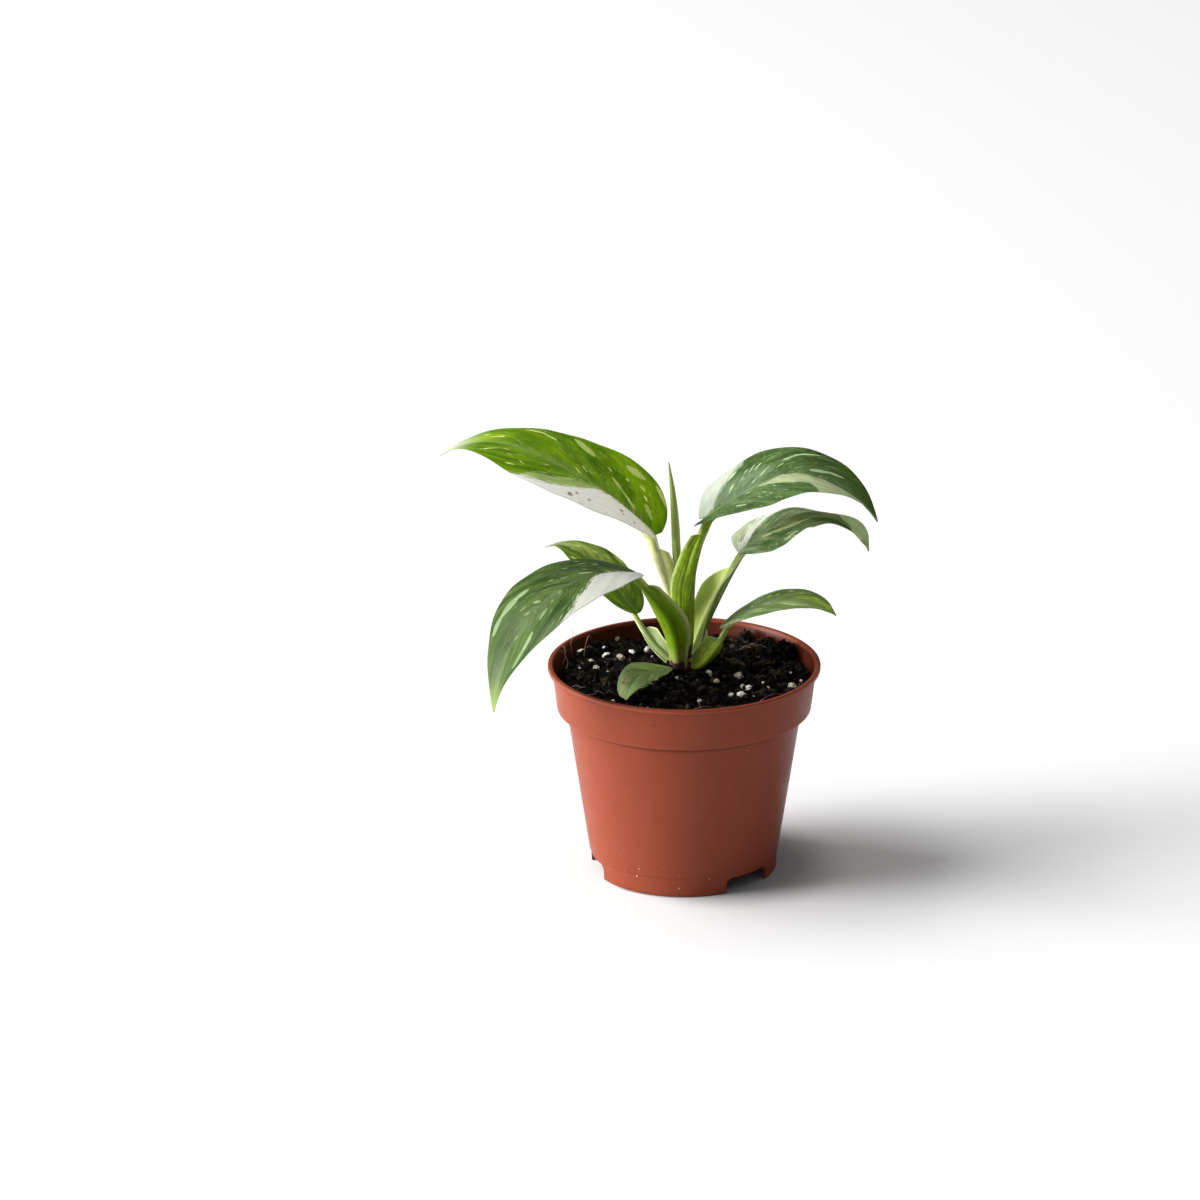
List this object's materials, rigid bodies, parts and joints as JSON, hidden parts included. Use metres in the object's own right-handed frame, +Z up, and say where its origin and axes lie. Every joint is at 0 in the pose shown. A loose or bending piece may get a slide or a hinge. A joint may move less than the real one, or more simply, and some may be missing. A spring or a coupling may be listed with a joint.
{
  "type": "potted variegated philodendron",
  "caption": "Young variegated philodendron with arching pointed leaves on sheathed stalks, in a round terracotta-coloured plastic nursery pot of dark potting mix with perlite.",
  "frame": {"origin": "centre of the whole object's bounding box at the surface that the pot stands on; the pot's own axis is at x 0.0101, y 0.0011", "axes": "+Z up the pot's axis, +X to the right as seen from the front, along the spread of the two upper leaves, +Y to the back"},
  "size_m": [0.1684, 0.113, 0.1661],
  "materials": {
    "terracotta_plastic": "satin moulded plastic, terracotta colour",
    "potting_mix": "damp peat and fine bark, near black",
    "leaf": "satin leaf, green with cream and white variegation",
    "stalk": "smooth fresh green stalk with pale margins",
    "root": "pale fleshy root",
    "perlite": "porous white mineral grain",
    "bark": "rough dark bark"
  },
  "bodies": {
    "root": {"bark_chip_1": "bark", "bark_chip_2": "bark", "bark_chip_3": "bark", "bark_chip_4": "bark", "cataphyll": "stalk", "leaf_back_left": "leaf", "leaf_front": "leaf", "leaf_lower_left": "leaf", "leaf_lower_right": "leaf", "leaf_middle_right": "leaf", "leaf_upper_left": "leaf", "leaf_upper_right": "leaf", "new_leaf": "leaf", "perlite_1": "perlite", "perlite_10": "perlite", "perlite_2": "perlite", "perlite_3": "perlite", "perlite_4": "perlite", "perlite_5": "perlite", "perlite_6": "perlite", "perlite_7": "perlite", "perlite_8": "perlite", "perlite_9": "perlite", "petiole_back_left": "stalk", "petiole_front": "stalk", "petiole_lower_left": "stalk", "petiole_lower_right": "stalk", "petiole_middle_right": "stalk", "petiole_upper_left": "stalk", "petiole_upper_right": "stalk", "pot": "terracotta_plastic", "potting_mix": "potting_mix", "root_1": "root", "root_2": "root", "root_3": "root", "root_4": "root", "root_5": "root", "stem": "stalk"}
  },
  "joints": []
}
